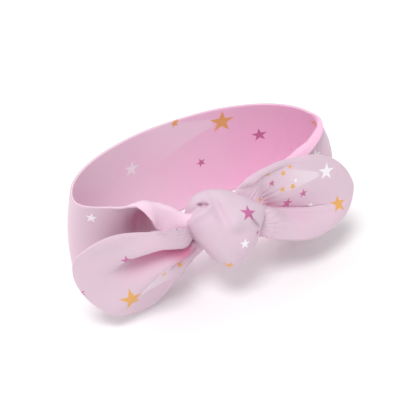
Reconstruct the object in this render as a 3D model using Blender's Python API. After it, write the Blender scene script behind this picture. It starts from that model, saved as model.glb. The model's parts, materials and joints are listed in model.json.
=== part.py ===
"""Knotted bow headband of soft printed jersey, standing on its lower edge.

A closed band of two fabric layers runs round the head and gathers at the front into a knot, which throws out one
rounded ear on each side. Lengths are in metres, +Z is up, the knot faces -Y and the ears lie along X. The origin is
the bottom centre of the whole object's box.
"""

import math

import bmesh
import bpy
from mathutils import Matrix, Vector

MM = 0.001

# Fabric
LAYER = 0.7 * MM  # one layer of jersey
SEAM_THICKNESS = 0.5 * MM  # the turned-in seam allowance that lies between the two layers
SEAM_WIDTH = 3.0 * MM
CLEARANCE = 0.3 * MM  # between pieces that touch
WALL = 2 * LAYER + SEAM_THICKNESS + 2 * CLEARANCE

# Band: an ellipse at the back and sides, and two walls that run in to the knot
BAND_HEIGHT = 60 * MM
BAND_BULGE = 2 * MM  # how far the middle of the wall stands out past its edges
LOOP_HALF_WIDTH = 80 * MM
LOOP_BACK_DEPTH = 43 * MM  # from the corners back to the top edge
BACK_FLARE = 7 * MM  # how much further back the top edge stands than the bottom edge
LOOP_CENTRE = Vector((1 * MM, 1 * MM))
SPLIT_ANGLE = math.radians(12)  # where the stretching back half meets the front walls
SPLIT_GAP = 0.6 * MM
CORNER_REACH = 8 * MM  # how far the front wall runs straight on from the corner
GATHER_REACH = 29 * MM  # how far it runs straight into the knot
GATHER_HEADING = math.radians(28)
GATHER_TOP_DROP = 2 * MM  # how far the top edge comes down at the knot
GATHER_BOTTOM_RISE = 24 * MM  # how far the bottom edge rises there
GATHER_THICKNESS = 6 * MM  # across the gathered wall where it enters the knot

# Knot
KNOT_CENTRE = Vector((-6 * MM, -34 * MM, 41 * MM))
KNOT_HALF_WIDTH = 24 * MM
KNOT_HALF_DEPTH = 16 * MM
KNOT_HALF_HEIGHT = 25 * MM
WRAP_HALF_WIDTH = 19 * MM
CORE_HALF_DEPTH = 7 * MM
CORE_HALF_HEIGHT = 12 * MM
CORE_HALF_WIDTH = 17.5 * MM
BAND_ENTRY_DEPTH = 11 * MM  # how far behind the knot's centre the band comes in
BAND_ENTRY_GAP = 2.3 * MM  # from the side of the knot to the end of the band's wall

# Ears, measured from the pinch where each one leaves the knot
PINCH_CLEARANCE = 6.5 * MM  # from the side of the knot to the pinch
THROAT_THICKNESS = 5 * MM
THROAT_TAPER = 0.55  # its thickness at the rim, as a share of that
THROAT_WIDTH_SHARE = 0.7  # the ear's width where it starts, as a share of the throat's
EAR_WIDEST_AT = 0.6  # share of the length
EAR_CUP = 4 * MM  # how far the long edges curl forward
EAR_END_ANGLE = 84  # where the half ellipse of its end is cut off, in degrees
THROAT_TRIM = 0.98  # how much of its radius the throat keeps at its top and bottom
EARS = {
    "left": {"side": -1, "pinch_y": -38 * MM, "pinch_z": 43 * MM, "length": 65 * MM, "half_width": 28 * MM,
             "throat_radius": 11 * MM, "droop": 12, "lean": 9, "sweep": 0},
    "right": {"side": 1, "pinch_y": -35 * MM, "pinch_z": 43 * MM, "length": 65 * MM, "half_width": 24 * MM,
              "throat_radius": 10 * MM, "droop": 6, "lean": 25, "sweep": 1},
}

# How finely curves are cut
BACK_STATIONS = 30
CORNER_STATIONS = 4
WALL_STATIONS = 12
BAND_ROWS = 6
EAR_STATIONS = 16
EAR_ROWS = 10
THROAT_STATIONS = 14
ROUND_STEPS = 32
KNOT_STATIONS = 12

COLOURS = {
    "jersey_print": (0.80, 0.56, 0.69),
    "jersey_lining": (0.74, 0.40, 0.58),
    "seam_tape": (0.90, 0.78, 0.86),
}


def clear_scene():
    for obj in list(bpy.data.objects):
        bpy.data.objects.remove(obj)


def fabric(name):
    material = bpy.data.materials.get(name)
    if material is None:
        material = bpy.data.materials.new(name)
        material.use_nodes = True
        shader = material.node_tree.nodes["Principled BSDF"]
        shader.inputs["Base Color"].default_value = (*COLOURS[name], 1)
        shader.inputs["Roughness"].default_value = 0.75
        shader.inputs["Metallic"].default_value = 0
    return material


def add_object(name, mesh_builder, material, parent, origin=None):
    """A named object from a filled bmesh, with its origin at the given point."""
    mesh = bpy.data.meshes.new(name)
    mesh_builder.to_mesh(mesh)
    mesh_builder.free()
    if origin is not None:
        mesh.transform(Matrix.Translation(-origin))
    mesh.materials.append(fabric(material))
    mesh.shade_smooth()
    mesh.set_sharp_from_angle(angle=math.radians(40))
    obj = bpy.data.objects.new(name, mesh)
    bpy.context.scene.collection.objects.link(obj)
    obj.parent = parent
    if origin is not None:
        obj.location = origin - parent.matrix_world.translation
    return obj


def slab(front, back):
    """A closed sheet between two grids of points that match, front facing out."""
    bm = bmesh.new()
    faces = []
    layers = [[[bm.verts.new(p) for p in row] for row in grid] for grid in (front, back)]
    rows, columns = len(front), len(front[0])
    for i in range(rows - 1):
        for j in range(columns - 1):
            for layer, order in zip(layers, (1, -1)):
                corners = [layer[i][j], layer[i + 1][j], layer[i + 1][j + 1], layer[i][j + 1]]
                faces.append(corners[::order])
    rim = [(i, 0) for i in range(rows)]
    rim += [(rows - 1, j) for j in range(1, columns)]
    rim += [(i, columns - 1) for i in range(rows - 2, -1, -1)]
    rim += [(0, j) for j in range(columns - 2, 0, -1)]
    for (i, j), (k, m) in zip(rim, rim[1:] + rim[:1]):
        faces.append([layers[0][k][m], layers[0][i][j], layers[1][i][j], layers[1][k][m]])
    for corners in faces:
        bm.faces.new(corners)
    bmesh.ops.recalc_face_normals(bm, faces=bm.faces)
    return bm


def smooth_step(t):
    return t * t * (3 - 2 * t)


# Band


def bezier(points, t):
    a, b, c, d = points
    return (1 - t) ** 3 * a + 3 * (1 - t) ** 2 * t * b + 3 * (1 - t) * t * t * c + t**3 * d


def ellipse_station(angle):
    """Bottom and top plan points of the band at an angle round the loop, 0 at the right corner."""
    x = LOOP_CENTRE.x + LOOP_HALF_WIDTH * math.cos(angle)
    depths = (LOOP_BACK_DEPTH - BACK_FLARE, LOOP_BACK_DEPTH)
    low, high = (Vector((x, LOOP_CENTRE.y + depth * math.sin(angle))) for depth in depths)
    return {"low": low, "high": high, "gather": 0.0}


def front_stations(side):
    """Stations between the split and the knot, in anticlockwise order round the loop."""
    join = SPLIT_GAP / 2 / LOOP_BACK_DEPTH
    angles = [(SPLIT_ANGLE - join) * (1 - i / CORNER_STATIONS) for i in range(CORNER_STATIONS)]
    stations = [ellipse_station(a if side > 0 else math.pi - a) for a in angles]
    corner = Vector((LOOP_CENTRE.x + side * LOOP_HALF_WIDTH, LOOP_CENTRE.y))
    entry = Vector((KNOT_CENTRE.x + side * (WRAP_HALF_WIDTH + BAND_ENTRY_GAP), KNOT_CENTRE.y + BAND_ENTRY_DEPTH))
    out = Vector((side * math.cos(GATHER_HEADING), math.sin(GATHER_HEADING)))
    curve = (corner, corner - Vector((0, CORNER_REACH)), entry + out * GATHER_REACH, entry)
    for i in range(WALL_STATIONS + 1):
        t = i / WALL_STATIONS
        point = bezier(curve, t)
        stations.append({"low": point, "high": point, "gather": smooth_step(t)})
    return stations if side < 0 else stations[::-1]


def back_stations():
    start = SPLIT_ANGLE + SPLIT_GAP / 2 / LOOP_BACK_DEPTH
    step = (math.pi - 2 * start) / BACK_STATIONS
    return [ellipse_station(start + step * i) for i in range(BACK_STATIONS + 1)]


def outward(stations, i):
    """The level direction square to the loop at a station, away from the head."""
    before, after = stations[max(i - 1, 0)], stations[min(i + 1, len(stations) - 1)]
    run = (after["low"] + after["high"]) - (before["low"] + before["high"])
    return Vector((run.y, -run.x)).normalized()


def gathered(station):
    """How many times as thick as its flat stretch the wall is at a station."""
    return 1 + station["gather"] * (GATHER_THICKNESS / WALL - 1)


def band_point(stations, i, height_share, offset, inset=0.0):
    """A point of the band's wall: offset from its middle, and inset from an edge along the height."""
    s = stations[i]
    low = GATHER_BOTTOM_RISE * s["gather"]
    high = BAND_HEIGHT - GATHER_TOP_DROP * s["gather"]
    z = low + (high - low) * height_share + inset
    share = z / BAND_HEIGHT
    stand_out = BAND_BULGE * 4 * share * (1 - share) + offset
    plan = s["low"].lerp(s["high"], share) + outward(stations, i) * stand_out
    return Vector((plan.x, plan.y, z))


def band_layer(stations, outer):
    side = 1 if outer else -1
    shares = [j / BAND_ROWS for j in range(BAND_ROWS + 1)]
    grids = []
    for depth in (0, LAYER) if outer else (LAYER, 0):
        grid = []
        for i, station in enumerate(stations):
            offset = side * (WALL / 2 * gathered(station) - depth)
            grid.append([band_point(stations, i, share, offset) for share in shares])
        grids.append(grid)
    return slab(*grids)


def band_seam(stations, top):
    """The turned-in allowance along one edge, between the layers."""
    share, into = (1.0, -1) if top else (0.0, 1)
    insets = (into * CLEARANCE, into * (CLEARANCE + SEAM_WIDTH))
    grids = []
    for offset in (SEAM_THICKNESS / 2, -SEAM_THICKNESS / 2):
        rows = [[band_point(stations, i, share, offset, inset) for inset in insets] for i in range(len(stations))]
        grids.append(rows)
    return slab(*grids)


def build_band(name, stations, parent):
    add_object(f"{name}_outer_layer", band_layer(stations, True), "jersey_print", parent)
    add_object(f"{name}_inner_layer", band_layer(stations, False), "jersey_lining", parent)
    add_object(f"{name}_top_seam", band_seam(stations, True), "seam_tape", parent)
    add_object(f"{name}_bottom_seam", band_seam(stations, False), "seam_tape", parent)


# Knot


def ring(x, half_depth, half_height):
    turns = [2 * math.pi * k / ROUND_STEPS for k in range(ROUND_STEPS)]
    return [KNOT_CENTRE + Vector((x, half_depth * math.cos(a), half_height * math.sin(a))) for a in turns]


def skin_rings(rings, closed):
    """A surface through rings of equal count: closed joins the last ring to the first, else both ends are filled."""
    bm = bmesh.new()
    loops = [[bm.verts.new(p) for p in points] for points in rings]
    pairs = list(zip(loops, loops[1:])) + ([(loops[-1], loops[0])] if closed else [])
    for near, far in pairs:
        for k in range(len(near)):
            m = (k + 1) % len(near)
            bm.faces.new((near[k], near[m], far[m], far[k]))
    if not closed:
        bm.faces.new(loops[0])
        bm.faces.new(loops[-1])
    bmesh.ops.recalc_face_normals(bm, faces=bm.faces)
    return bm


def build_knot(parent):
    """The wrap is a barrel-shaped turn of fabric, and the core is the gathered strand that it grips."""
    steps = [WRAP_HALF_WIDTH * math.sin(math.pi * (i / KNOT_STATIONS - 0.5)) for i in range(KNOT_STATIONS + 1)]
    round_off = [math.sqrt(1 - (x / KNOT_HALF_WIDTH) ** 2) for x in steps]
    outer = [ring(x, KNOT_HALF_DEPTH * r, KNOT_HALF_HEIGHT * r) for x, r in zip(steps, round_off)]
    inner = [ring(x, CORE_HALF_DEPTH + CLEARANCE, CORE_HALF_HEIGHT + CLEARANCE) for x in steps[::-1]]
    add_object("knot_wrap", skin_rings(outer + inner, True), "jersey_print", parent)
    core_steps = [CORE_HALF_WIDTH * (2 * i / KNOT_STATIONS - 1) for i in range(KNOT_STATIONS + 1)]
    core = [ring(x, CORE_HALF_DEPTH, CORE_HALF_HEIGHT) for x in core_steps]
    add_object("knot_core", skin_rings(core, False), "jersey_print", parent)


# Ears


def pinch_point(ear):
    """Where the ear is pinched by the knot: both of its joints turn here."""
    x = KNOT_CENTRE.x + ear["side"] * (WRAP_HALF_WIDTH + PINCH_CLEARANCE)
    return Vector((x, ear["pinch_y"], ear["pinch_z"]))


def ear_axes(ear):
    """(along the ear, across it upwards, out of its front face)."""
    droop, lean, sweep = (math.radians(ear[k]) for k in ("droop", "lean", "sweep"))
    along = Vector((ear["side"] * math.cos(droop) * math.cos(sweep), math.sin(sweep), -math.sin(droop)))
    leaning = Vector((0, math.sin(lean), math.cos(lean)))
    across = (leaning - along * leaning.dot(along)).normalized()
    front = along.cross(across)
    return along, across, front if front.y < 0 else -front


def ear_point(ear, along, across, offset):
    """A point of the ear from its distances along, across and off its middle surface."""
    a, b, n = ear_axes(ear)
    cup = EAR_CUP * (across / ear["half_width"]) ** 2
    return pinch_point(ear) + a * along + b * across + n * (cup + offset)


def ear_half_width(ear, along):
    """The paddle outline: it flares from the throat and ends in half an ellipse."""
    start, widest, end = ear_start(ear), EAR_WIDEST_AT * ear["length"], ear["length"]
    if along < widest:
        t = (along - start) / (widest - start)
        return throat_half_width(ear) + (ear["half_width"] - throat_half_width(ear)) * math.sin(t * math.pi / 2)
    return ear["half_width"] * math.sqrt(max(0.0, 1 - ((along - widest) / (end - widest)) ** 2))


def throat_half_width(ear):
    """Half the width of the ear where it starts, narrow enough to swing past the knot."""
    return THROAT_WIDTH_SHARE * ear["throat_radius"]


def ear_start(ear):
    """How far along the corners of the ear start, on the circle that clears the throat."""
    radius = ear["throat_radius"] + CLEARANCE + SEAM_THICKNESS
    return math.sqrt(radius**2 - throat_half_width(ear) ** 2)


def ear_reaches(ear):
    """Distances along the ear, closer together where it rounds off at its end."""
    widest = EAR_WIDEST_AT * ear["length"]
    half = EAR_STATIONS // 2
    flare = [ear_start(ear) + (widest - ear_start(ear)) * i / half for i in range(half)]
    last = math.radians(EAR_END_ANGLE)
    tip = [widest + (ear["length"] - widest) * math.sin(last * i / half) for i in range(half + 1)]
    return flare + tip


def ear_grid(ear, offset):
    """The ear's face as a grid, notched by the arc that clears the throat."""
    radius = ear["throat_radius"] + CLEARANCE + SEAM_THICKNESS
    reaches = ear_reaches(ear)
    grid = []
    for along in reaches:
        half = ear_half_width(ear, along)
        fade = (1 - (along - reaches[0]) / (reaches[-1] - reaches[0])) ** 2
        row = []
        for j in range(EAR_ROWS + 1):
            v = 2 * j / EAR_ROWS - 1
            notch = math.sqrt(radius**2 - (v * throat_half_width(ear)) ** 2) - reaches[0]
            row.append(ear_point(ear, along + notch * fade, v * half, offset))
        grid.append(row)
    return grid


def ear_seam(ear):
    """The turned-in allowance that follows the ear's outline between its layers, from just past the throat."""
    upper = [(along, ear_half_width(ear, along)) for along in ear_reaches(ear)[1:]]
    outline = [Vector(p) for p in upper] + [Vector((a, -w)) for a, w in reversed(upper)]
    grids = ([], [])
    for i, point in enumerate(outline):
        run = (outline[min(i + 1, len(outline) - 1)] - outline[max(i - 1, 0)]).normalized()
        inward = Vector((run.y, -run.x))
        pair = [point + inward * d for d in (CLEARANCE, CLEARANCE + SEAM_WIDTH)]
        for grid, offset in zip(grids, (SEAM_THICKNESS / 2, -SEAM_THICKNESS / 2)):
            grid.append([ear_point(ear, p.x, p.y, offset) for p in pair])
    return slab(*grids)


def throat(ear):
    """The pinched gather: a disc about the pinch, cut back beside the knot and thinner at its rim."""
    radius = ear["throat_radius"]
    turns = [math.pi * (i / THROAT_STATIONS - 0.5) for i in range(THROAT_STATIONS + 1)]
    heights = [THROAT_TRIM * radius * math.sin(turn) for turn in turns]
    knot_side = THROAT_THICKNESS / 2
    front, back = [], []
    for across in heights:
        rim = math.sqrt(radius**2 - across**2)
        inner = -min(knot_side, rim)
        rows = ([], [])
        for share in (0.0, 0.35, 0.7, 1.0):
            along = inner + (rim - inner) * share
            flat = THROAT_THICKNESS / 2 * (1 - (1 - THROAT_TAPER) * share)
            for row, offset in zip(rows, (flat, -flat)):
                row.append(ear_point(ear, along, across, offset))
        front.append(rows[0])
        back.append(rows[1])
    return slab(front, back)


def build_ear(side_name, ear, root):
    """The throat swings about its own length at the pinch, and the ear lifts in its plane about the same point."""
    pinch = pinch_point(ear)
    name = f"{side_name}_ear"
    pivot = bpy.data.objects.new(f"{name}_pivot", None)
    bpy.context.scene.collection.objects.link(pivot)
    pivot.parent = root
    pivot.location = pinch
    bpy.context.view_layer.update()
    add_object(f"{name}_throat", throat(ear), "jersey_print", pivot, pinch)
    outer, inner = WALL / 2, WALL / 2 - LAYER
    front = slab(ear_grid(ear, outer), ear_grid(ear, inner))
    back = slab(ear_grid(ear, -inner), ear_grid(ear, -outer))
    add_object(f"{name}_front_layer", front, "jersey_print", pivot, pinch)
    add_object(f"{name}_back_layer", back, "jersey_lining", pivot, pinch)
    add_object(f"{name}_edge_seam", ear_seam(ear), "seam_tape", pivot, pinch)


def stand_on_origin(root):
    """Moves everything so that the origin is the bottom centre of the whole box."""
    bpy.context.view_layer.update()
    points = [o.matrix_world @ v.co for o in bpy.data.objects if o.type == "MESH" for v in o.data.vertices]
    low = Vector(min(p[k] for p in points) for k in range(3))
    high = Vector(max(p[k] for p in points) for k in range(3))
    root.location = -Vector(((low.x + high.x) / 2, (low.y + high.y) / 2, low.z))


def main():
    clear_scene()
    root = bpy.data.objects.new("headband", None)
    bpy.context.scene.collection.objects.link(root)
    build_band("left_front", front_stations(-1), root)
    build_band("right_front", front_stations(1), root)
    build_band("back", back_stations(), root)
    build_knot(root)
    for side_name, ear in EARS.items():
        build_ear(side_name, ear, root)
    stand_on_origin(root)


main()
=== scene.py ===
"""The looks of the knotted bow headband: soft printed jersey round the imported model.

Lengths are in millimetres until a mesh is made. Shapes are set out in the design frame, whose origin is
under the middle of the loop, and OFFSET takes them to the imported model's frame.
"""

import json
import math

import bpy
import numpy as np
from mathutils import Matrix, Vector, noise


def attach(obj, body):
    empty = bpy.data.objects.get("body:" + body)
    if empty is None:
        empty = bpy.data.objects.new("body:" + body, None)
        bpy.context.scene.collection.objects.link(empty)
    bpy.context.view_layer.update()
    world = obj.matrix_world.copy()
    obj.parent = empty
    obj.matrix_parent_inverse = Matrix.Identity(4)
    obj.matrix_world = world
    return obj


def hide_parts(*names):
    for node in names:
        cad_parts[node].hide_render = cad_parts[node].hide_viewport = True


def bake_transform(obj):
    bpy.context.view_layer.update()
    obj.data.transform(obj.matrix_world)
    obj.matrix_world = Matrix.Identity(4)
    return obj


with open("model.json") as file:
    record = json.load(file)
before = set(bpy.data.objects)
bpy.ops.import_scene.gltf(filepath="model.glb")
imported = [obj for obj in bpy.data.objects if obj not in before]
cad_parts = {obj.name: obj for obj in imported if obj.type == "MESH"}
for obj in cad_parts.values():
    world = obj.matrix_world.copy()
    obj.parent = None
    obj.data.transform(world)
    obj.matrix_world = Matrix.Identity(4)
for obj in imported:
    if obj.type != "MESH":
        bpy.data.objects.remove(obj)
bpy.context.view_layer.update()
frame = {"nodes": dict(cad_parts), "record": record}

MM = 0.001
JOINTS = {joint["name"]: joint for joint in frame["record"]["behaviour"]["joints"]}

# Where the ears are pinched, in the design frame
LEFT_PINCH = np.array([-31.5, -38.0, 43.0])
RIGHT_PINCH = np.array([19.5, -35.0, 43.0])
OFFSET = np.array(JOINTS["left_ear_swing"]["pos_m"]) / MM - LEFT_PINCH

CLOTH_EDGE = 0.75  # half the thickness of the doubled cloth at its folded edges
CLOTH_PLUMP = 0.25  # how much thicker each half of the band's cloth is in its middle
EAR_PLUMP = 0.55  # and each half of an ear's


# Curves and meshes


def through(stations, count):
    """`count` rows on a smooth curve through the given rows, evenly spaced from one to the next."""
    rows = np.asarray(stations, float)
    ends = np.concatenate([2 * rows[:1] - rows[1:2], rows, 2 * rows[-1:] - rows[-2:-1]])
    at = np.linspace(0, len(rows) - 1, count)
    first = np.minimum(at.astype(int), len(rows) - 2)
    t = (at - first).reshape(-1, *[1] * (rows.ndim - 1))
    a, b, c, d = (ends[first + k] for k in range(4))
    square = (2 * a - 5 * b + 4 * c - d) * t**2
    cube = (3 * b - 3 * c + d - a) * t**3
    return 0.5 * (2 * b + (c - a) * t + square + cube)


def evenly(points, count):
    """`count` points at equal distances along a chain of points."""
    points = np.asarray(points, float)
    reach = np.concatenate([[0], np.cumsum(np.linalg.norm(np.diff(points, axis=0), axis=1))])
    at = np.linspace(0, reach[-1], count)
    return np.stack([np.interp(at, reach, points[:, k]) for k in range(points.shape[1])], axis=1)


def step(t):
    """0 up to t = 0 and 1 from t = 1, with a smooth rise between."""
    t = np.clip(t, 0, 1)
    return t * t * (3 - 2 * t)


def unit(v):
    return v / np.maximum(np.linalg.norm(v, axis=-1, keepdims=True), 1e-9)


def grid_normals(grid):
    return unit(np.cross(np.gradient(grid, axis=0), np.gradient(grid, axis=1)))


def bell(x, centre, below, above):
    """A hump of height 1 at its centre, with its own width on each side."""
    width = np.where(x < centre, below, above)
    return np.exp(-(((x - centre) / width) ** 2))


def make_object(name, points, faces, corner_uv, face_slots, materials):
    mesh = bpy.data.meshes.new(name)
    mesh.from_pydata(((points + OFFSET) * MM).tolist(), [], faces)
    layer = mesh.uv_layers.new(name="Cloth")
    layer.data.foreach_set("uv", (np.asarray(corner_uv, float) * MM).ravel())
    mesh.polygons.foreach_set("material_index", face_slots)
    for material in materials:
        mesh.materials.append(material)
    mesh.shade_smooth()
    mesh.update()
    obj = bpy.data.objects.new(name, mesh)
    bpy.context.scene.collection.objects.link(obj)
    return obj


# The rounded edge of doubled cloth, from its front to its back: (reach outward, height) as shares of half the
# thickness. The dip in the middle is the seam between the two lips.
LIPS = ((0.42, 0.94), (0.74, 0.72), (0.80, 0.40), (0.52, 0.0), (0.80, -0.40), (0.74, -0.72), (0.42, -0.94))


def doubled_cloth(name, middle, flat, front_half, back_half, materials):
    """Two layers of cloth either side of a middle surface, joined round the edge by two lips."""
    normals = grid_normals(middle)
    front = middle + normals * front_half[..., None]
    back = middle - normals * back_half[..., None]
    rows, columns = middle.shape[:2]
    count = rows * columns
    points = [front.reshape(-1, 3), back.reshape(-1, 3)]
    index = np.arange(count).reshape(rows, columns)
    faces, slots = [], []
    for i in range(rows - 1):
        for j in range(columns - 1):
            corners = [index[i, j], index[i + 1, j], index[i + 1, j + 1], index[i, j + 1]]
            faces += [corners, [count + k for k in corners[::-1]]]
            slots += [0, 1]
    rim = [(i, 0) for i in range(rows)]
    rim += [(rows - 1, j) for j in range(1, columns)]
    rim += [(i, columns - 1) for i in range(rows - 2, -1, -1)]
    rim += [(0, j) for j in range(columns - 2, 0, -1)]
    places = np.array([middle[i, j] for i, j in rim])
    up = np.array([normals[i, j] for i, j in rim])
    along = np.roll(places, -1, axis=0) - np.roll(places, 1, axis=0)
    outward = unit(np.cross(along, up))
    half = np.array([[front_half[i, j], back_half[i, j]] for i, j in rim])
    chain = [[index[i, j] for i, j in rim]]
    for reach, height in LIPS:
        lip = places + outward * (reach * half.mean(axis=1))[:, None]
        lip = lip + up * (height * np.where(height > 0, half[:, 0], half[:, 1]))[:, None]
        chain.append([sum(map(len, points)) + k for k in range(len(rim))])
        points.append(lip)
    chain.append([count + index[i, j] for i, j in rim])
    for level, (near, far) in enumerate(zip(chain, chain[1:])):
        for k in range(len(rim)):
            m = (k + 1) % len(rim)
            faces.append([near[m], near[k], far[k], far[m]])
            slots.append(0 if level < len(LIPS) // 2 + 1 else 1)
    flat_rim = np.array([flat[i, j] for i, j in rim])
    uv = np.concatenate([flat.reshape(-1, 2), flat.reshape(-1, 2)] + [flat_rim] * len(LIPS))
    corner_uv = uv[np.array(faces).ravel()]
    faces = [list(map(int, face)) for face in faces]
    return make_object(name, np.concatenate(points), faces, corner_uv, slots, materials)


def add_painted_shade(obj, depth):
    """Stores painted shade for each point of the front layer, as how far into a fold it lies; every other point
    is 0.
    """
    values = np.zeros(len(obj.data.vertices))
    values[:depth.size] = depth.ravel()
    obj.data.attributes.new("fold", "FLOAT", "POINT").data.foreach_set("value", values)


# The band

# Each station: top of the wall (x, y, z), its bottom edge (x, y, z), bulge, length folded over, and how far the
# fold hangs down in degrees. They run anticlockwise from the knot, round the back, and to the knot again.
BAND_STATIONS = (
    # right gather
    ((1, -25.5, 46.5), (2, -25.5, 31), 0, 2.5, 80),
    ((10, -22.5, 47), (10, -23.5, 27), 0, 2.5, 80),
    ((20, -20, 49), (20, -20.5, 21), 0, 2.5, 80),
    ((31, -17.5, 53.5), (31, -17, 12), 0, 3, 75),
    # right wall, its top folded a little way out
    ((42, -15, 57.6), (43, -13.5, 4), 1, 5, 62),
    ((52, -12, 60.2), (55, -9.5, 0), 3, 7.5, 45),
    ((62, -7.5, 61), (67, -5, 0), 4.5, 6.5, 36),
    ((71, -1, 61), (77.5, 0.5, 0), 6, 5, 28),
    ((77, 7, 60.5), (84, 8, 0), 6.5, 2, 10),
    # back
    ((76.5, 16, 60), (83.5, 17, 0), 5, 0, 0),
    ((71, 25, 60), (76, 27, 0), 3.5, 0, 0),
    ((60, 33, 60), (63, 34, 0), 2.5, 0, 0),
    ((45, 39, 60), (47, 37.5, 0), 2, 0, 0),
    ((25, 43, 60), (27, 37, 0), 2, 0, 0),
    ((3, 44, 60), (4, 35, 0), 2, 0, 0),
    ((-20, 42, 60), (-19, 32, 0), 2, 0, 0),
    ((-42, 37, 60), (-41, 28, 0), 2, 0, 0),
    ((-58.5, 29.5, 60), (-57.5, 23, 0), 2, 0, 0),
    ((-70.5, 20, 60), (-69.5, 17, 0), 2, 0, 0),
    ((-77, 10.5, 60), (-77, 11, 0), 2.5, 0, 0),
    ((-78.5, 2, 60), (-78, 4, 0), 3, 0, 0),
    # left wall, its top folding out like a collar
    ((-75, -4, 60), (-73.5, -2, 0), 3, 0, 0),
    ((-67, -9, 60), (-65.5, -6, 0), 2.5, 0, 0),
    ((-58, -12.5, 60), (-57, -9, 0), -1.5, 0.8, 20),
    ((-51, -13.8, 60.6), (-51, -9.5, 1), -6, 3, 30),
    ((-45, -15, 61), (-45, -9.5, 2.5), -10.5, 9.5, 52),
    ((-39, -17, 60.4), (-39, -12, 6), -12, 15.5, 66),
    # left gather
    ((-32, -20.5, 57.5), (-32, -18, 12), -6, 16, 72),
    ((-25, -24, 52.5), (-25, -24, 20), -1, 11.5, 72),
    ((-17, -27, 50), (-17, -28, 26), 0, 7, 65),
    ((-9, -28, 49), (-9, -29, 28), 0, 6, 60),
)
BAND_ROWS = 30  # points across the cloth
BAND_STEPS = 8  # between two stations
BAND_WIDTH = 60  # of the cloth, along which the print is laid out
BAND_FLOOR = 0.8  # the lowest that the middle of the cloth comes
FOLD_RADIUS = 1.6
GATHERS = 1.3  # height of the waves at the knot
GATHERS_REACH = 55  # how far they run from it
CREASE_START, CREASE_WIDTH = 0.82, 0.12  # across the cloth, where the collar's creases rise to their full depth


def band_section(top, bottom, out, bulge, flap, hang):
    """Points from the bottom edge, up the wall, over the fold and down to the top edge of the cloth."""
    rise = np.linspace(0, 1, 9)[:, None]
    wall = bottom + (top - bottom) * rise + out * bulge * 4 * rise * (1 - rise)
    if flap < 0.3:
        return wall
    hang = math.radians(hang)
    radius = min(FOLD_RADIUS, flap / 2)
    turns = np.linspace(math.pi, math.pi / 2 - hang, 6)[1:, None]
    centre = top + out * radius - np.array([0, 0, radius])
    wall[-1] = centre - out * radius
    bend = centre + radius * (out * np.cos(turns) + np.array([0, 0, 1]) * np.sin(turns))
    way = out * math.cos(hang) - np.array([0, 0, math.sin(hang)])
    left = max(flap - radius * (math.pi / 2 + hang), 0.2)
    drape = np.linspace(0, 1, 6)[1:, None] * left
    inward = out * math.sin(hang) + np.array([0, 0, math.cos(hang)])
    lap = bend[-1] + way * drape + inward * 0.018 * drape**2
    return np.concatenate([wall, bend, lap])


def build_band(materials):
    numbers = np.array([[*top, *bottom, *rest] for top, bottom, *rest in BAND_STATIONS])
    rows = through(numbers, (len(numbers) - 1) * BAND_STEPS + 1)
    path = np.gradient(rows[:, :2] + rows[:, 3:5], axis=0)
    out = unit(np.stack([path[:, 1], -path[:, 0], np.zeros(len(rows))], axis=1))
    middle = np.array([
        evenly(band_section(row[:3], row[3:6], n, row[6], max(row[7], 0), row[8]), BAND_ROWS)
        for row, n in zip(rows, out)
    ])
    # soft waves across the width, stronger where the cloth runs into the knot, and creases in the left collar
    along = np.concatenate([[0], np.cumsum(np.linalg.norm(np.diff(rows[:, :2], axis=0), axis=1))])
    across = np.linspace(0, 1, BAND_ROWS)
    near_knot = np.clip(1 - np.minimum(along, along[-1] - along) / GATHERS_REACH, 0, 1)[:, None] ** 1.5
    gathers = GATHERS * near_knot * np.sin(across * 21 + along[:, None] * 0.05)
    drift = np.array([[noise.noise(Vector((a * 0.035, b * 1.6, 3.0))) for b in across] for a in along])
    from_end = (along[-1] - along)[:, None]
    creases = 1.2 * bell(from_end, 26, 4, 4) - 1.5 * bell(from_end, 36, 4.5, 5.5)
    creases = creases * step((across - CREASE_START) / CREASE_WIDTH)
    middle = middle + grid_normals(middle) * (gathers + 0.9 * drift + creases)[..., None]
    middle[..., 2] = np.maximum(middle[..., 2], BAND_FLOOR)
    flat = np.stack(np.broadcast_arrays(along[:, None], (across * BAND_WIDTH)[None, :]), axis=-1)
    half = np.full(middle.shape[:2], CLOTH_EDGE)
    half += CLOTH_PLUMP * np.sin(math.pi * across)[None, :]
    band = doubled_cloth("band_cloth", middle, flat, half, half, materials)
    # painted shade in the hollow under the collar, just below the line of its fold
    collar = np.minimum(0.74 + 0.0095 * (from_end - 24), 1.0)
    add_painted_shade(band, 0.8 * bell(from_end, 38, 10, 10) * bell(across[None, :], collar - 0.22, 0.30, 0.15))
    return band


# The ears


def ear_axes(side, droop, lean, sweep):
    """(along the ear, across it upwards, out of its front face), from three angles in degrees."""
    droop, lean, sweep = map(math.radians, (droop, lean, sweep))
    along = np.array([side * math.cos(droop) * math.cos(sweep), math.sin(sweep), -math.sin(droop)])
    leaning = np.array([0, math.sin(lean), math.cos(lean)])
    across = unit(leaning - along * (leaning @ along))
    front = np.cross(along, across)
    return along, across, front if front[1] < 0 else -front


LEFT_AXES = ear_axes(-1, 12, 9, 0)
RIGHT_AXES = ear_axes(1, 6, 25, 1)
# The edge of each ear (along, across) from the top of its throat, round its end, to the bottom of its throat
LEFT_OUTLINE = (
    (-12, 7), (-3, 9.5), (6, 16), (18, 21.5), (34, 28), (46, 28.5), (56, 24), (61, 17), (62.5, 6),
    (59.5, -8), (53.5, -18), (45, -26.5), (34, -32.5), (24, -33.5), (14, -27), (6, -18.5), (-12, -8),
)
RIGHT_OUTLINE = (
    (-18, 13.5), (-12, 20.5), (-4, 24), (8, 26.5), (22, 27), (35, 26), (45, 22), (53, 15.5), (58.5, 8),
    (60.5, 0), (55, -10), (43, -17), (26, -20), (8, -16.5), (-6, -11.5), (-18, -8),
)
# Where the cloth's threads come together inside the knot: how far along the ear, and half their spread
LEFT_MOUTH = (-13.0, 6.5)
RIGHT_MOUTH = (-13.0, 8.0)
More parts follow.
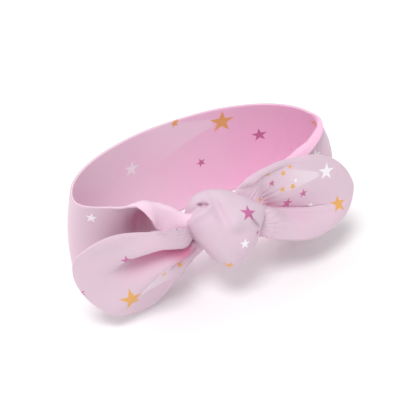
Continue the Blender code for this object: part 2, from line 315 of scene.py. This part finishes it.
# The left ear's root bends back and down into the knot
ROOT_PULL = unit(np.array([0.35, 0.68, -0.64]))
LEFT_ROOT_BEND = 14.0
# Each ear's cloth before it was gathered: its width and length in metres
LEFT_CUT = (0.082, 0.088)
RIGHT_CUT = (0.064, 0.088)
EAR_REACHES = 64  # points from the mouth to the edge
EAR_SPOKES = 128
EAR_FLOOR = 1.2  # the lowest that the middle of an ear's cloth comes


def fan(outline, mouth, half_mouth):
    """A grid of (along, across) whose spokes run from the mouth of the knot out to the ear's edge."""
    edge = evenly(through(outline, 300), EAR_SPOKES)
    share = np.linspace(1, -1, EAR_SPOKES)
    root = np.stack([np.full(EAR_SPOKES, mouth), half_mouth * share], axis=1)
    reach = (np.linspace(0, 1, EAR_REACHES) ** 0.85)[:, None, None]
    return root[None] * (1 - reach) + edge[None] * reach, reach[..., 0], share[None, :]


def left_fold_line(s):
    """Where the left ear's pleat lies across it: it arches up and then falls away towards the ear's end."""
    return 0.5 + 0.04 * s + 9.5 * bell(s, 17, 13, 22)


def left_relief(s, t):
    """How far the left ear's folds stand forward, at `s` along it and `t` across it.

    A full upper lobe hangs over a deep pleat out of the knot. Below the pleat a ridge runs out, and the cloth
    turns back under it to the floor.
    """
    outward = step((s + 8) / 12)
    line = left_fold_line(s)
    upper = 5.0 * bell(t, 13 + 0.10 * s, 8 + 0.05 * s, 14) * step((58 - s) / 40) * outward
    pleat = -13.0 * bell(t, line, 2.6 + 0.13 * s, 1.1 + 0.05 * s) * step((54 - s) / 46) * outward
    overhang = 4.2 * bell(t, line + 3.5 + 0.04 * s, 1.6 + 0.03 * s, 5.5)
    overhang = overhang * step((44 - s) / 34) * outward
    crest = -4.4 - 0.20 * s - 0.002 * s**2 + 0.4 * (line - 0.5 - 0.04 * s)
    ridge = 6.0 * bell(t, crest + 1.0, 2.6 + 0.11 * s, 3.0 + 0.12 * s)
    ridge = ridge * step((58 - s) / 45) * outward
    pocket = -5.0 * bell(t, -6.4 - 0.42 * s, 1.6, 1.3) * step((15 - s) / 9) * step((s + 9) / 6)
    below = np.maximum(crest - 1.5 - t, 0)
    turned = -0.42 * below**2 / (below + 3.0)
    end = -0.010 * np.maximum(s - 40, 0) ** 2
    hem = 2.2 * bell(t, 30, 7, 9)
    return upper + pleat + overhang + ridge + pocket + turned + end + hem


def left_slide(s, t):
    """How far the upper lobe slides down over the pleat."""
    drop = -3.4 * bell(t, left_fold_line(s) + 2.9 + 0.03 * s, 1.6 + 0.03 * s, 4.5)
    return drop * step((42 - s) / 30) * step((s + 8) / 12)


def right_strip_line(s):
    """Where the top of the right ear's lower strip lies across it."""
    return 4.0 - 10.5 * (1 - np.exp(-np.maximum(s + 3, 0) / 14))


def right_relief(s, t):
    """How far the right ear's folds stand forward.

    A scoop runs out of the knot, between a broad lower strip and a rolled top edge.
    """
    outward = step((s + 10) / 12)
    within = right_strip_line(s) - t
    strip = 5.4 * step(within / 2.0 + 0.5) * step((62 - s) / 52) * outward
    settling = -0.18 * np.maximum(within - 6, 0)
    deepest = -8.5 + 17.0 * np.exp(-np.maximum(s, 0) / 9)
    scoop = -7.8 * bell(t, deepest, 3.2, 9 + 0.10 * s) * step((56 - s) / 42) * step((s + 7) / 15)
    hem_line = 25.5 - 6.5 * np.exp(-np.maximum(s + 6, 0) / 9)
    hem = 2.2 * step((t - hem_line) / 2.6 + 0.5) * step((24 - s) / 16)
    cup = 2.6 * (t / 24) ** 2 * step((s - 8) / 25)
    end = -0.006 * np.maximum(s - 38, 0) ** 2
    return strip + settling + scoop + hem + cup + end


def right_slide(s, t):
    """How far the lower strip's top slides up over the scoop."""
    within = right_strip_line(s) - t
    return 2.2 * bell(within, 0.8, 1.2, 4.0) * step((40 - s) / 30) * step((s + 8) / 12)


def left_painted_shade(s, t):
    """Painted shade for the left ear: how deep in a fold each place lies, from 0 to 1, where the cloth is
    painted as if lit only by light off the pink cloth.
    """
    reach = step((46 - s) / 38) * step((s + 6) / 8)
    return reach * bell(t, left_fold_line(s) - 6.5, 4.5, 5.0)


def right_painted_shade(s, t):
    """The same painted shade for the right ear, whose fold lies just above the lower strip."""
    reach = step((36 - s) / 28) * step((s + 6) / 9)
    return 0.55 * reach * bell(t, right_strip_line(s) + 1.0, 1.0, 4.5)


def build_ear(name, pinch, axes, outline, mouth, folds, bend, seed, materials):
    """An ear of doubled cloth; `folds` are its relief, slide and painted shade, and `bend` is how far its root
    goes.
    """
    along, across, front = axes
    relief, slide, shade = folds
    place, reach, share = fan(outline, *mouth)
    s, t = place[..., 0], place[..., 1]
    height = relief(s, t)
    fine = np.array([noise.noise(Vector((v * 9, seed, 0))) for v in share[0]])[None, :]
    gathers = 0.28 * np.sin(share * 55 + seed) + 0.65 * fine
    gathers = gathers * step((0.75 - reach) / 0.75) * step(reach / 0.15) * step((1 - abs(share)) / 0.14)
    drift = np.array([[noise.noise(Vector((a * 0.05, b * 0.06, seed))) for a, b in row] for row in place])
    height = height + gathers + 1.2 * drift * step(reach / 0.3)
    over = t + slide(s, t)
    middle = pinch + s[..., None] * along + over[..., None] * across + height[..., None] * front
    middle += (bend * step((14 - s) / 20))[..., None] * ROOT_PULL
    middle[..., 2] = np.maximum(middle[..., 2], EAR_FLOOR)
    rim = np.minimum(step((1 - reach) / 0.07), step((1 - abs(share)) / 0.05))
    half = CLOTH_EDGE + EAR_PLUMP * rim
    # the painted shade of the ear's folds
    depth = shade(s, t)
    if np.mean(grid_normals(middle) @ front) < 0:
        middle, place, half, depth = (grid[:, ::-1] for grid in (middle, place, half, depth))
    ear = doubled_cloth(name, middle, place, half, half, materials)
    add_painted_shade(ear, depth)
    return ear


# The knot

KNOT_MIDDLE = np.array([-6.0, -34.0, 40.5])
KNOT_TURN = math.radians(-27)  # its full face looks to the left
KNOT_TIP = math.radians(36)  # and up
KNOT_DEPTH = 15.5
# (direction round the face in degrees from its right, distance to its edge)
KNOT_OUTLINE = (
    (0, 20.8), (27, 25.3), (46, 22.6), (70, 21.2), (96, 22.0), (120, 24.0), (137, 24.6), (155, 23.4),
    (171, 22.2), (195, 17.8), (227, 15.6), (262, 19.3), (282, 22.4), (307, 21.0), (337, 20.4),
)
KNOT_RINGS = 120
KNOT_SPOKES = 240
KNOT_BACK_UV = 400  # the back of the knot lies this far off on the flat cloth, clear of any star
# The fold that crosses the knot's upper left, where the front of the wrap passes over the turn behind it
KNOT_FOLD = np.array([[-30.0, -3.0], [-21.8, 3.4], [-17.2, 7.6], [-11.5, 11.4], [-6.5, 13.6]])


def knot_radius(turn):
    """Distance from the knot's middle to its edge in each direction round its face."""
    angles = np.radians([a for a, _ in KNOT_OUTLINE])
    radii = np.array([r for _, r in KNOT_OUTLINE])
    wrapped = np.concatenate([angles - 2 * math.pi, angles, angles + 2 * math.pi])
    smooth = through(np.stack([wrapped, np.tile(radii, 3)], axis=1), 900)
    return np.interp(turn % (2 * math.pi), smooth[:, 0], smooth[:, 1])


def side_of(line, x, y):
    """Signed distance of (x, y) from a chain of points, positive on its upper left, and its share along it."""
    best, side, at = np.full(x.shape, 1e9), np.zeros(x.shape), np.zeros(x.shape)
    for number, (a, b) in enumerate(zip(line, line[1:])):
        run = b - a
        share = np.clip(((x - a[0]) * run[0] + (y - a[1]) * run[1]) / (run @ run), 0, 1)
        dx, dy = x - a[0] - share * run[0], y - a[1] - share * run[1]
        distance = np.hypot(dx, dy)
        nearer = distance < best
        best = np.where(nearer, distance, best)
        side = np.where(nearer, np.sign(run[0] * dy - run[1] * dx), side)
        at = np.where(nearer, (number + share) / (len(line) - 1), at)
    return best * side, at


def knot_relief(x, y):
    """How far the folds of the knot's face stand out from a plain pillow."""
    # the wrap's edge crosses the upper left, with a rolled lip and two small slits behind it
    across, at = side_of(KNOT_FOLD, x, y)
    kept = step((1.02 - at) / 0.22)
    drop = -4.6 * step((across + 0.4) / 1.2) * np.exp(-np.maximum(across - 2.0, 0) / 4.0) * kept
    lip = 1.5 * np.exp(-(((across + 1.6) / 2.2) ** 2)) * kept
    slit = -3.2 * np.exp(-(((x + 12.6) / 1.6) ** 2) - ((y - 13.6) / 0.8) ** 2)
    slit = slit - 3.0 * np.exp(-(((x + 9.0) / 1.1) ** 2) - ((y - 13.6) / 0.8) ** 2)
    # a soft valley runs down the middle, with a full shoulder and a dimple to its right
    valley_x = -6.0 + (18.0 - y) * 0.48
    valley = -3.4 * np.exp(-(((x - valley_x) / 3.4) ** 2)) * np.exp(-(((y - 11.0) / 8.0) ** 2))
    shoulder = 1.9 * np.exp(-(((x - 6.5) / 4.5) ** 2) - ((y - 4.0) / 5.5) ** 2)
    dimple = -1.8 * np.exp(-(((x - 10.0) / 5.0) ** 2) - ((y + 1.5) / 3.2) ** 2)
    # a short sharp crease slants across the right edge
    off = (x - 17.5) * 0.80 + (y - 4.0) * 0.60
    run = -(x - 17.5) * 0.60 + (y - 4.0) * 0.80
    crease = -3.4 * np.exp(-((off / 0.75) ** 2)) * np.exp(-((run / 5.0) ** 2))
    crease = crease - 1.4 * step(off / 2.0) * np.exp(-((run / 8.0) ** 2))
    return drop + lip + slit + valley + shoulder + dimple + crease


def build_knot(materials):
    """A full pillow of wound cloth, built in rings round the axis of its face."""
    level = math.cos(KNOT_TIP)
    face = np.array([math.sin(KNOT_TURN) * level, -math.cos(KNOT_TURN) * level, math.sin(KNOT_TIP)])
    right = np.array([math.cos(KNOT_TURN), math.sin(KNOT_TURN), 0])
    up = np.cross(face, right)
    tilt = np.linspace(0.0, math.pi, KNOT_RINGS + 1)[1:-1, None]
    turn = np.linspace(0, 2 * math.pi, KNOT_SPOKES, endpoint=False)[None, :]
    spread = np.sin(tilt) ** 0.9
    radius = knot_radius(turn)
    x = radius * spread * np.cos(turn)
    y = radius * spread * np.sin(turn)
    depth = KNOT_DEPTH * np.sign(np.cos(tilt)) * abs(np.cos(tilt)) ** 0.85 + 0 * turn
    places = np.stack([x, y], axis=-1)
    wave = np.array([[noise.noise(Vector((a * 0.11, b * 0.11, 7.0))) for a, b in row] for row in places])
    depth = depth + (knot_relief(x, y) + 0.8 * wave) * step(np.cos(tilt) / 0.3)
    points = KNOT_MIDDLE + x[..., None] * right + y[..., None] * up + depth[..., None] * face
    front_end = points[0].mean(axis=0)
    back_end = points[-1].mean(axis=0)
    rings, spokes = points.shape[:2]
    index = np.arange(rings * spokes).reshape(rings, spokes)
    near, far = rings * spokes, rings * spokes + 1
    faces = []
    for k in range(spokes):
        m = (k + 1) % spokes
        faces.append([near, index[0, k], index[0, m]])
        faces.append([far, index[-1, m], index[-1, k]])
        for i in range(rings - 1):
            faces.append([index[i, k], index[i + 1, k], index[i + 1, m], index[i, m]])
    stretch = tilt / np.sin(tilt)
    flat = np.stack([x * stretch, y * stretch], axis=-1).reshape(-1, 2)
    flat = np.concatenate([flat, [[0, 0], [KNOT_BACK_UV, KNOT_BACK_UV]]])
    corner_uv = flat[[i for f in faces for i in f]]
    points = np.concatenate([points.reshape(-1, 3), [front_end, back_end]])
    faces = [list(map(int, corners)) for corners in faces]
    return make_object("knot_cloth", points, faces, corner_uv, [0] * len(faces), materials)


# Materials

PINK = (0.74, 0.56, 0.655)
PINK_KNOT_SHADED = (0.70, 0.55, 0.635)  # painted shade: the same cloth painted darker on the knot
# painted light: the same cloth on the loop's inside, painted lighter in place of the light bounced round inside
# the loop
PINK_INSIDE_LIT = (0.92, 0.69, 0.81)
ROSE_TONE_AND_SHADE = (0.95, 0.43, 0.70)  # the deeper pink of the print's slow clouds, and of the painted shade deepening the loop's inside towards its right
NO_SHADE_WASH = (0.0, 0.0)
INSIDE_SHADE_WASH = (0.0, 0.50)  # painted shade on the loop's inside: the rose's share at the left of the loop's back and at the right
WASH_FROM, WASH_TO = 0.235, 0.115  # and where along the band the painted shade deepens, in metres
GOLD = (0.82, 0.41, 0.09)
MAGENTA = (0.55, 0.13, 0.33)
WHITE = (0.95, 0.91, 0.94)
PAINTED_FOLD_SHADE = (0.74, 0.15, 0.33)  # painted shade: the colour of the cloth deep in a fold, as if lit only by light off more of the cloth

# Stars are (x, y, radius, turn, colour) and pale tails (x, y, length, turn), in millimetres and degrees on
# the cloth. The band's x runs from the right of the knot round the back to its left, and y up from the bottom
# edge. An ear's are along it and across it.
INSIDE_STARS = (
    (148, 51, 8.0, 22, GOLD), (125, 36, 5.0, 12, MAGENTA), (163, 26, 3.2, 0, MAGENTA),
    (209, 40, 5.2, 30, WHITE), (178, 59, 3.2, 10, GOLD), (92, 52, 3.0, 40, GOLD),
    (52, 22, 3.5, 15, MAGENTA), (262, 20, 4.5, 5, MAGENTA), (300, 24, 6.0, 50, GOLD),
    (70, 40, 4.0, 20, WHITE),
)
INSIDE_TAILS = ((150, 52, 56, -4), (300, 24, 40, 170))
OUTSIDE_STARS = (
    (287, 54, 3.2, 10, WHITE), (24, 34, 4.5, 25, GOLD), (58, 14, 3.0, 40, MAGENTA),
    (66, 44, 4.5, 5, WHITE), (96, 22, 7.5, 30, GOLD), (112, 46, 3.2, 15, MAGENTA),
    (131, 14, 4.6, 50, WHITE), (146, 38, 4.8, 8, MAGENTA), (171, 20, 2.2, 0, GOLD),
    (178, 26, 2.0, 30, GOLD), (176, 48, 6.5, 44, GOLD), (203, 30, 3.4, 20, MAGENTA),
    (218, 48, 5.0, 12, WHITE), (228, 16, 7.5, 35, GOLD), (251, 38, 4.2, 22, MAGENTA),
    (262, 12, 3.0, 0, WHITE), (296, 16, 5.0, 18, WHITE), (318, 40, 3.0, 33, MAGENTA),
)
OUTSIDE_TAILS = ((96, 22, 50, 176), (176, 48, 46, -170), (228, 16, 52, 8))
LEFT_EAR_STARS = (
    (34, 12, 3.4, 20, MAGENTA), (39, -15, 7.0, 96, GOLD), (17, -12, 2.2, 10, GOLD),
    (7, -13, 2.2, 40, GOLD), (62.5, -1, 2.8, 15, MAGENTA),
)
LEFT_EAR_TAILS = ((36, -16, 36, 172),)
RIGHT_EAR_STARS = (
    (48, -6, 5.6, 88, GOLD), (41, 15.5, 5.4, 12, WHITE), (4, 22, 1.9, 0, GOLD), (14, 20, 2.2, 30, GOLD),
    (18.5, 23, 1.7, 10, GOLD), (19, 11.5, 2.2, 50, GOLD), (13, 11, 2.2, 20, GOLD),
    (-2, 7, 2.2, 0, GOLD), (6.5, 16, 2.2, 15, MAGENTA), (26, 6, 2.8, 25, MAGENTA),
    (17, 2, 3.4, 80, MAGENTA), (32, -3, 2.0, 0, WHITE), (21, 14.5, 1.5, 0, WHITE),
)
RIGHT_EAR_TAILS = ((38, 15, 30, 178),)
EAR_BACK_STARS = (
    (20, 12, 4.4, 30, WHITE), (36, -8, 7.0, 70, GOLD), (47, 14, 3.0, 10, MAGENTA),
    (12, -9, 2.6, 0, MAGENTA),
)
KNOT_STARS = (
    (15, 10.5, 5.6, 90, MAGENTA), (13, -8, 3.6, 20, WHITE), (4, -24, 4.2, 75, GOLD),
    (24, -2, 2.6, 20, MAGENTA),
)


JERSEY_FINISH = {
    "Roughness": 0.62,
    "Specular IOR Level": 0.28,
    "Sheen Weight": 0.24,
    "Sheen Roughness": 0.45,
    "Sheen Tint": (1.0, 0.93, 0.97, 1),
}
CLOUD_SCALE = 38.0  # slow changes of colour
CLOUD_SHARE = 0.10
STAR_INK = 0.94
TAIL_INK = 0.62
# how strongly the painted fold shade is mixed in
PAINTED_FOLD_SHADE_STRENGTH = 0.8
# painted shade in the knit's hollows
KNIT_HOLLOW_SHADE = 0.05
KNIT_WALE = 0.8  # one rib of the knit
KNIT_DEPTH = 0.12
KNIT_STRENGTH = 0.30
FUZZ_SCALE = 1600.0


class Nodes:
    """Short ways to add and join shader nodes."""

    def __init__(self, tree):
        self.tree = tree

    def add(self, kind, **settings):
        node = self.tree.nodes.new(kind)
        for key, value in settings.items():
            setattr(node, key, value)
        return node

    def join(self, value, socket):
        if isinstance(value, bpy.types.NodeSocket):
            self.tree.links.new(value, socket)
        else:
            socket.default_value = value

    def maths(self, operation, *values):
        node = self.add("ShaderNodeMath", operation=operation)
        for value, socket in zip(values, node.inputs):
            self.join(value, socket)
        return node.outputs[0]

    def smooth(self, value, low, high):
        node = self.add("ShaderNodeMapRange", interpolation_type="SMOOTHSTEP")
        self.join(value, node.inputs["Value"])
        self.join(low, node.inputs["From Min"])
        self.join(high, node.inputs["From Max"])
        return node.outputs["Result"]

    def blend(self, share, a, b):
        node = self.add("ShaderNodeMix", data_type="RGBA")
        self.join(share, node.inputs[0])
        self.join(a, node.inputs[6])
        self.join(b, node.inputs[7])
        return node.outputs[2]


def star_group():
    """A five-pointed star of radius 1 about the origin: its mask, softened over a small part of its size."""
    group = bpy.data.node_groups.new("Star", "ShaderNodeTree")
    group.interface.new_socket("Vector", in_out="INPUT", socket_type="NodeSocketVector")
    group.interface.new_socket("Mask", in_out="OUTPUT", socket_type="NodeSocketFloat")
    n = Nodes(group)
    source, result = n.add("NodeGroupInput"), n.add("NodeGroupOutput")
    parts = n.add("ShaderNodeSeparateXYZ")
    n.join(source.outputs[0], parts.inputs[0])
    x, y = parts.outputs[0], parts.outputs[1]
    point = math.pi / 5
    angle = n.maths("PINGPONG", n.maths("ADD", n.maths("ARCTAN2", y, x), 2 * math.pi), point)
    length = n.maths("SQRT", n.maths("ADD", n.maths("MULTIPLY", x, x), n.maths("MULTIPLY", y, y)))
    along = n.maths("MULTIPLY", length, n.maths("COSINE", angle))
    across = n.maths("MULTIPLY", length, n.maths("SINE", angle))
    waist = 0.39  # the inner corners' distance from the middle
    dx, dy = waist * math.cos(point) - 1, waist * math.sin(point)
    size = math.hypot(dx, dy)
    inside = n.maths("SUBTRACT", n.maths("MULTIPLY", across, dx / size),
                     n.maths("MULTIPLY", n.maths("SUBTRACT", along, 1.0), dy / size))
    n.join(n.smooth(inside, -0.035, 0.035), result.inputs[0])
    return group


def tail_group():
    """A fan of pale rays from the origin out along +X to 1, and fading as it goes."""
    group = bpy.data.node_groups.new("Tail", "ShaderNodeTree")
    group.interface.new_socket("Vector", in_out="INPUT", socket_type="NodeSocketVector")
    group.interface.new_socket("Mask", in_out="OUTPUT", socket_type="NodeSocketFloat")
    n = Nodes(group)
    source, result = n.add("NodeGroupInput"), n.add("NodeGroupOutput")
    parts = n.add("ShaderNodeSeparateXYZ")
    n.join(source.outputs[0], parts.inputs[0])
    x, y = parts.outputs[0], parts.outputs[1]
    angle = n.maths("ARCTAN2", y, n.maths("MAXIMUM", n.maths("ADD", x, 0.12), 0.001))
    edge = n.smooth(n.maths("ABSOLUTE", angle), 0.30, 0.20)
    rays = n.add("ShaderNodeTexNoise", noise_dimensions="1D")
    n.join(n.maths("MULTIPLY", angle, 46.0), rays.inputs["W"])
    rays.inputs["Detail"].default_value = 1.0
    streaks = n.smooth(rays.outputs["Fac"], 0.38, 0.62)
    start = n.smooth(x, 0.02, 0.12)
    end = n.smooth(x, 1.0, 0.25)
    rays_share = n.maths("ADD", n.maths("MULTIPLY", streaks, 0.75), 0.25)
    fan_share = n.maths("MULTIPLY", edge, rays_share)
    n.join(n.maths("MULTIPLY", fan_share, n.maths("MULTIPLY", start, end)), result.inputs[0])
    return group


STAR = star_group()
TAIL = tail_group()


def placed(n, uv, place, turn, size):
    """UV turned into the units of a motif at `place`, in metres on the cloth."""
    node = n.add("ShaderNodeMapping", vector_type="TEXTURE")
    n.join(uv, node.inputs["Vector"])
    node.inputs["Location"].default_value = (place[0] * MM, place[1] * MM, 0)
    node.inputs["Rotation"].default_value = (0, 0, math.radians(turn))
    node.inputs["Scale"].default_value = (size * MM, size * MM, 1)
    return node.outputs[0]


def printed_jersey(name, base, wash, stars, tails):
    """Soft jersey with a scattered print of stars and pale tails, and painted shade that deepens its colour
    down in its folds.
    """
    material = bpy.data.materials.new(name)
    material.use_nodes = True
    n = Nodes(material.node_tree)
    shader = material.node_tree.nodes["Principled BSDF"]
    for socket, value in JERSEY_FINISH.items():
        shader.inputs[socket].default_value = value
    uv = n.add("ShaderNodeUVMap", uv_map="Cloth").outputs[0]
    place = n.add("ShaderNodeTexCoord").outputs["Object"]
    cloud = n.add("ShaderNodeTexNoise")
    n.join(place, cloud.inputs["Vector"])
    cloud.inputs["Scale"].default_value = CLOUD_SCALE
    cloud.inputs["Detail"].default_value = 3.0
    spots = n.smooth(cloud.outputs["Fac"], 0.35, 0.7)
    parts = n.add("ShaderNodeSeparateXYZ")
    n.join(uv, parts.inputs[0])
    # painted shade: a rose wash deepening towards the band's right end, with the share that `wash` gives
    deeper = n.smooth(parts.outputs[0], WASH_FROM, WASH_TO)
    start, end = wash
    share = n.maths("ADD", n.maths("MULTIPLY", deeper, end - start), n.maths("MULTIPLY", spots, CLOUD_SHARE))
    colour = n.blend(n.maths("ADD", share, start), (*base, 1), (*ROSE_TONE_AND_SHADE, 1))
    for x, y, length, turn in tails:
        tail = n.add("ShaderNodeGroup", node_tree=TAIL)
        n.join(placed(n, uv, (x, y), turn, length), tail.inputs[0])
        colour = n.blend(n.maths("MULTIPLY", tail.outputs[0], TAIL_INK), colour, (*WHITE, 1))
    for x, y, radius, turn, ink in stars:
        star = n.add("ShaderNodeGroup", node_tree=STAR)
        n.join(placed(n, uv, (x, y), turn, radius), star.inputs[0])
        colour = n.blend(n.maths("MULTIPLY", star.outputs[0], STAR_INK), colour, (*ink, 1))
    # painted shade: the fold attribute mixes in the deep pink of the cloth down in a fold
    fold = n.add("ShaderNodeAttribute", attribute_name="fold").outputs["Fac"]
    colour = n.blend(n.maths("MULTIPLY", fold, PAINTED_FOLD_SHADE_STRENGTH), colour, (*PAINTED_FOLD_SHADE, 1))
    # knit: wales along the cloth, courses across it, and a fine fuzz
    turns = 2 * math.pi / (KNIT_WALE * MM)
    course = n.maths("SINE", n.maths("MULTIPLY", parts.outputs[1], turns * 0.8))
    wales = n.maths("SINE", n.maths("ADD", n.maths("MULTIPLY", parts.outputs[0], turns),
                                    n.maths("MULTIPLY", course, 0.7)))
    fuzz = n.add("ShaderNodeTexNoise")
    n.join(place, fuzz.inputs["Vector"])
    fuzz.inputs["Scale"].default_value = FUZZ_SCALE
    fuzz.inputs["Detail"].default_value = 2.0
    knit = n.maths("ADD", n.maths("MULTIPLY", wales, 0.5), n.maths("MULTIPLY", fuzz.outputs["Fac"], 0.9))
    bump = n.add("ShaderNodeBump")
    bump.inputs["Strength"].default_value = KNIT_STRENGTH
    bump.inputs["Distance"].default_value = KNIT_DEPTH * MM
    n.join(knit, bump.inputs["Height"])
    n.join(bump.outputs[0], shader.inputs["Normal"])
    # painted shade: the cloth is darker down between the knit's ribs
    weave = n.smooth(knit, -0.2, 1.1)
    between = n.maths("MULTIPLY", n.maths("SUBTRACT", 1.0, weave), KNIT_HOLLOW_SHADE)
    colour = n.blend(between, colour, (*(c * 0.6 for c in PINK), 1))
    n.join(colour, shader.inputs["Base Color"])
    return material


# Light, floor and camera

FLOOR_REACH = 6.0  # metres
FLOOR_DROP = -0.0004  # just under the lower edge of the band
FLOOR_WHITE = 0.99
SKY_STRENGTH = 0.65

def build_stage():
    mesh = bpy.data.meshes.new("floor")
    corners = ((-1, -1), (1, -1), (1, 1), (-1, 1))
    mesh.from_pydata([(x * FLOOR_REACH, y * FLOOR_REACH, FLOOR_DROP) for x, y in corners], [], [(0, 1, 2, 3)])
    floor = bpy.data.objects.new("floor", mesh)
    bpy.context.scene.collection.objects.link(floor)
    material = bpy.data.materials.new("white_floor")
    material.use_nodes = True
    shader = material.node_tree.nodes["Principled BSDF"]
    shader.inputs["Base Color"].default_value = (FLOOR_WHITE, FLOOR_WHITE, FLOOR_WHITE, 1)
    shader.inputs["Roughness"].default_value = 0.9
    shader.inputs["Specular IOR Level"].default_value = 0.1
    mesh.materials.append(material)


def add_light(name, towards, strength, spread):
    """A distant soft light: `towards` points to it, and `spread` is its apparent size in degrees."""
    light = bpy.data.lights.new(name, "SUN")
    light.energy = strength
    light.angle = math.radians(spread)
    obj = bpy.data.objects.new(name, light)
    bpy.context.scene.collection.objects.link(obj)
    obj.rotation_euler = Vector(towards).to_track_quat("Z", "Y").to_euler()


def build_lights():
    world = bpy.data.worlds.new("studio")
    world.use_nodes = True
    background = world.node_tree.nodes["Background"]
    background.inputs["Color"].default_value = (1, 1, 1, 1)
    background.inputs["Strength"].default_value = SKY_STRENGTH
    bpy.context.scene.world = world
    add_light("key", (-0.27, -0.22, 0.93), 1.35, 24)
    add_light("side", (-0.45, 0.75, 0.75), 0.50, 60)
    bpy.context.scene.view_settings.view_transform = "Standard"
    bpy.context.scene.view_settings.look = "None"


CAMERA_AZIMUTH = math.radians(-27)
CAMERA_ELEVATION = math.radians(40)
CAMERA_DISTANCE = 0.9
CAMERA_TARGET = np.array([1.0, -1.8, 28.7])  # design frame
CAMERA_LENS = 135.6


def build_camera():
    camera = bpy.data.cameras.new("camera")
    camera.lens = CAMERA_LENS
    camera.sensor_width = 36
    camera.clip_start = 0.05
    obj = bpy.data.objects.new("camera", camera)
    bpy.context.scene.collection.objects.link(obj)
    level = math.cos(CAMERA_ELEVATION)
    back = Vector((math.sin(CAMERA_AZIMUTH) * level, -math.cos(CAMERA_AZIMUTH) * level,
                   math.sin(CAMERA_ELEVATION)))
    obj.location = Vector((CAMERA_TARGET + OFFSET) * MM) + back * CAMERA_DISTANCE
    obj.rotation_euler = back.to_track_quat("Z", "Y").to_euler()
    bpy.context.scene.camera = obj


def main():
    build_camera()
    build_stage()
    build_lights()

    outside = printed_jersey("jersey_outside", PINK, NO_SHADE_WASH, OUTSIDE_STARS, OUTSIDE_TAILS)
    # the inside print on cloth with painted light and a painted shade wash
    inside = printed_jersey("jersey_inside_painted_light_and_shade", PINK_INSIDE_LIT, INSIDE_SHADE_WASH, INSIDE_STARS, INSIDE_TAILS)
    left_print = printed_jersey("jersey_left_ear", PINK, NO_SHADE_WASH, LEFT_EAR_STARS, LEFT_EAR_TAILS)
    right_print = printed_jersey("jersey_right_ear", PINK, NO_SHADE_WASH, RIGHT_EAR_STARS, RIGHT_EAR_TAILS)
    ear_back = printed_jersey("jersey_ear_back", PINK, NO_SHADE_WASH, EAR_BACK_STARS, ())
    # the knot's print on cloth painted darker, as painted shade
    knot_print_shaded = printed_jersey("jersey_knot_painted_shade", PINK_KNOT_SHADED, NO_SHADE_WASH, KNOT_STARS, ())

    band = build_band([outside, inside])
    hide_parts(*(n for n in frame["nodes"] if n.startswith(("back_", "left_front_", "right_front_"))))
    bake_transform(band)

    knot = build_knot([knot_print_shaded])
    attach(knot, "front")
    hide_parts("knot_wrap", "knot_core")

    left_folds = (left_relief, left_slide, left_painted_shade)
    right_folds = (right_relief, right_slide, right_painted_shade)
    left = build_ear("left_ear_cloth", LEFT_PINCH, LEFT_AXES, LEFT_OUTLINE, LEFT_MOUTH, left_folds,
                     LEFT_ROOT_BEND, 1.0, [left_print, ear_back])
    right = build_ear("right_ear_cloth", RIGHT_PINCH, RIGHT_AXES, RIGHT_OUTLINE, RIGHT_MOUTH, right_folds,
                      0.0, 2.0, [right_print, ear_back])
    for ear, side, pinch, axes, cut in (
        (left, "left", LEFT_PINCH, LEFT_AXES, LEFT_CUT),
        (right, "right", RIGHT_PINCH, RIGHT_AXES, RIGHT_CUT),
    ):
        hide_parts(*(n for n in frame["nodes"] if n.startswith(f"{side}_ear_")))
        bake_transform(ear)


main()
